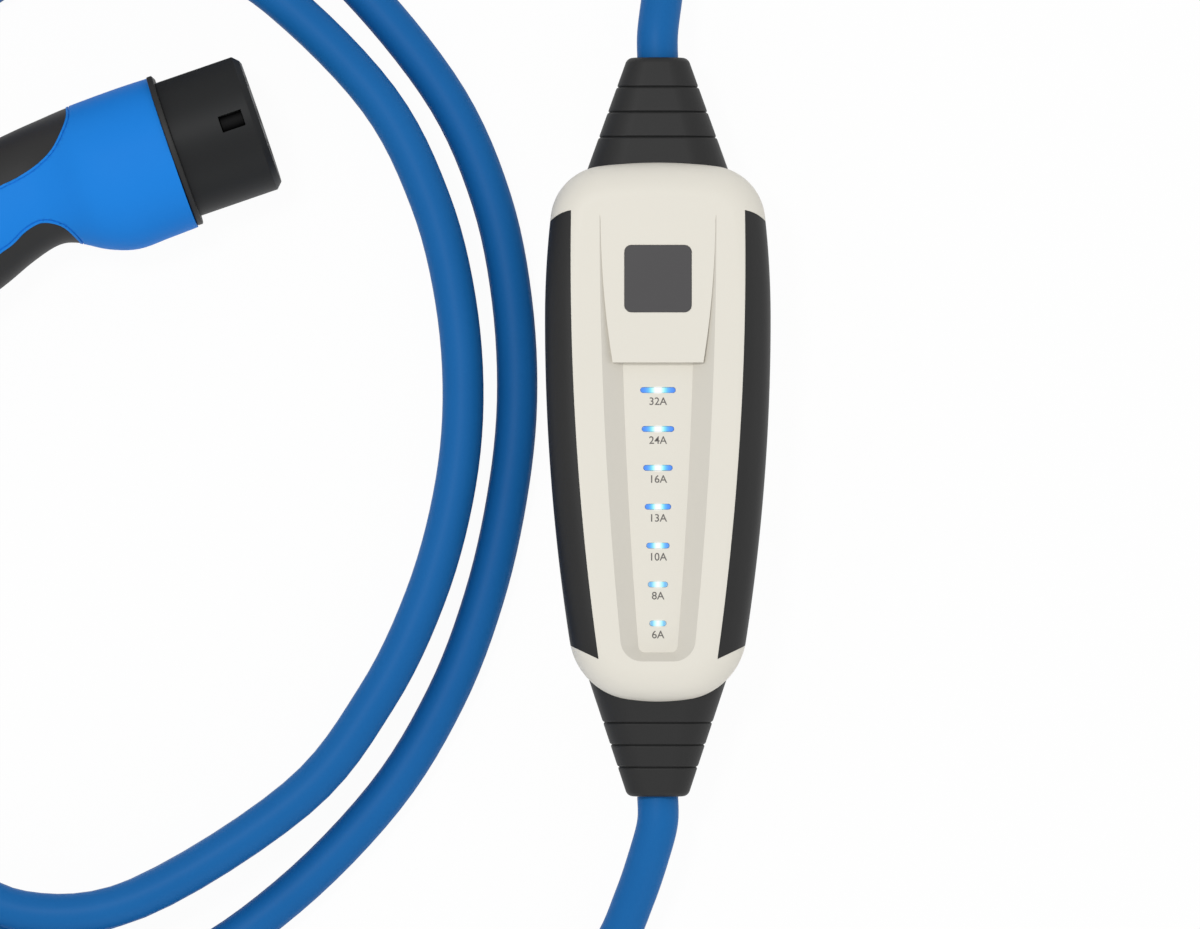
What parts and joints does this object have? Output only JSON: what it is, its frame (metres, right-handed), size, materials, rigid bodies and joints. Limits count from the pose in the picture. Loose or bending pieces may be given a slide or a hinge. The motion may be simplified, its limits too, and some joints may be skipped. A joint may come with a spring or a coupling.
{
  "type": "portable ev charger",
  "caption": "Hand-held charging control box with lit current steps, rubber boots, a coiled vehicle cable with a round-nosed connector, and a short supply lead with an industrial plug.",
  "frame": {"origin": "on the surface that the box lies on, under the middle of the box with its two boots", "axes": "+Z out of the front face, +Y along the box towards the supply lead, +X to the right as one reads the face"},
  "size_m": [0.4514, 0.5786, 0.073],
  "materials": {
    "shell_light": "fine matt grain",
    "shell_rear": "fine matt grain",
    "seal_rubber": "soft",
    "soft_black": "matt",
    "boot_rubber": "matt",
    "badge_grey": "satin",
    "clear_guide": "frosted clear",
    "board_green": "solder resist",
    "lamp_white": "moulded",
    "screw_steel": "zinc plated",
    "component_dark": "moulded",
    "terminal_green": "moulded",
    "core_jacket": "smooth",
    "cable_blue": "satin",
    "clamp_grey": "moulded",
    "nose_black": "fine grain",
    "contact_silver": "silver plated",
    "handle_blue": "satin",
    "plug_dark": "satin",
    "plug_red": "satin",
    "strap_fabric": "woven"
  },
  "bodies": {
    "root": {"front_shell": "shell_light", "rear_shell": "shell_rear", "shell_seal": "seal_rubber", "left_grip": "soft_black", "right_grip": "soft_black", "badge_plate": "badge_grey", "light_guide": "clear_guide", "light_board": "board_green", "status_leds": "lamp_white", "light_board_screws": "screw_steel", "main_board": "board_green", "board_screws": "screw_steel", "relays": "component_dark", "current_sensor": "component_dark", "supply_module": "component_dark", "supply_terminals": "terminal_green", "vehicle_terminals": "terminal_green", "supply_cores": "core_jacket", "vehicle_cores": "core_jacket", "supply_cable_end": "cable_blue", "vehicle_cable_end": "cable_blue", "supply_cable_clamp": "clamp_grey", "vehicle_cable_clamp": "clamp_grey", "clamp_screws": "screw_steel", "case_screws": "screw_steel", "supply_boot": "boot_rubber", "vehicle_boot": "boot_rubber", "connector_nose": "nose_black", "connector_collar": "seal_rubber", "power_contacts": "contact_silver", "signal_contacts": "contact_silver", "connector_upper_shell": "handle_blue", "connector_lower_shell": "handle_blue", "connector_back_grip": "soft_black", "connector_finger_grip": "soft_black", "connector_boot": "boot_rubber", "connector_cable_end": "cable_blue", "plug_housing": "plug_dark", "plug_shroud": "plug_red", "pin_carrier": "plug_dark", "live_pins": "contact_silver", "earth_pin": "contact_silver", "gland_nut": "plug_dark", "plug_cable_end": "cable_blue", "vehicle_cable": "cable_blue", "supply_cable": "cable_blue", "coil_tie": "strap_fabric"}
  },
  "joints": []
}
